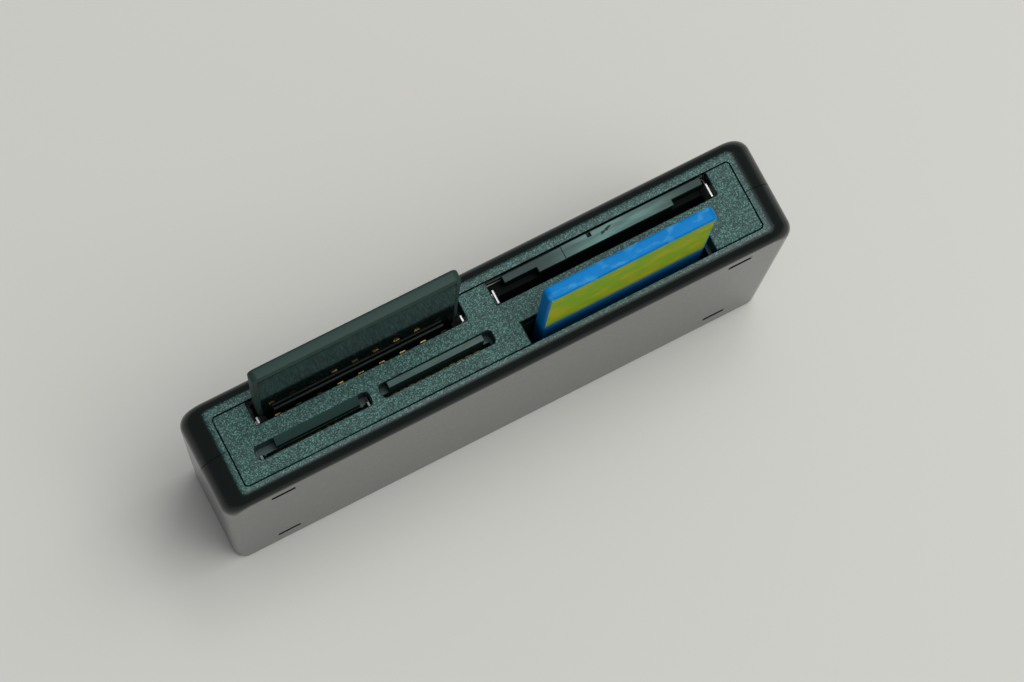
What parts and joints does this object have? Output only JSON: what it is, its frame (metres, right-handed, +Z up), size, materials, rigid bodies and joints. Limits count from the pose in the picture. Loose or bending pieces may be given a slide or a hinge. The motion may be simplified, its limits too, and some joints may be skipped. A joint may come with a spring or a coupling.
{
  "type": "usb memory card reader",
  "caption": "Compact black card reader with slots for several card sizes along its top edge, two cards standing in their slots and a lead socket in one end.",
  "frame": {"origin": "centre of the face it rests on, under the middle of the housing", "axes": "+X along the length towards the lead socket, -Y out of the front face, +Z up out of the card slots"},
  "size_m": [0.0696, 0.0124, 0.0516],
  "materials": {
    "housing": "smooth satin black moulding",
    "panel": "black moulding with a fine spark-eroded texture",
    "board": "green solder mask on glass laminate",
    "insulator": "smooth black connector moulding",
    "steel": "bright folded sheet",
    "contact": "gold plated spring strip",
    "chip": "matt black moulding compound",
    "capacitor": "fired tan body",
    "dark_card": "fine matt black moulding",
    "blue_card": "bright blue moulding, plain label on the front"
  },
  "bodies": {
    "root": {"front_shell": "housing", "rear_shell": "housing", "slot_panel": "panel", "circuit_board": "board", "wide_socket_body": "insulator", "wide_socket_shell": "steel", "wide_socket_contacts": "contact", "picture_socket_body": "insulator", "picture_socket_shell": "steel", "picture_socket_contacts": "contact", "micro_socket_body": "insulator", "micro_socket_shell": "steel", "micro_socket_contacts": "contact", "small_socket_body": "insulator", "small_socket_shell": "steel", "small_socket_contacts": "contact", "stick_socket_body": "insulator", "stick_socket_shell": "steel", "stick_socket_contacts": "contact", "dark_card": "dark_card", "blue_card": "blue_card", "usb_port_shell": "steel", "usb_port_tongue": "insulator", "usb_port_contacts": "contact", "controller_chip": "chip", "clock_crystal": "steel", "chip_capacitors": "capacitor"}
  },
  "joints": []
}
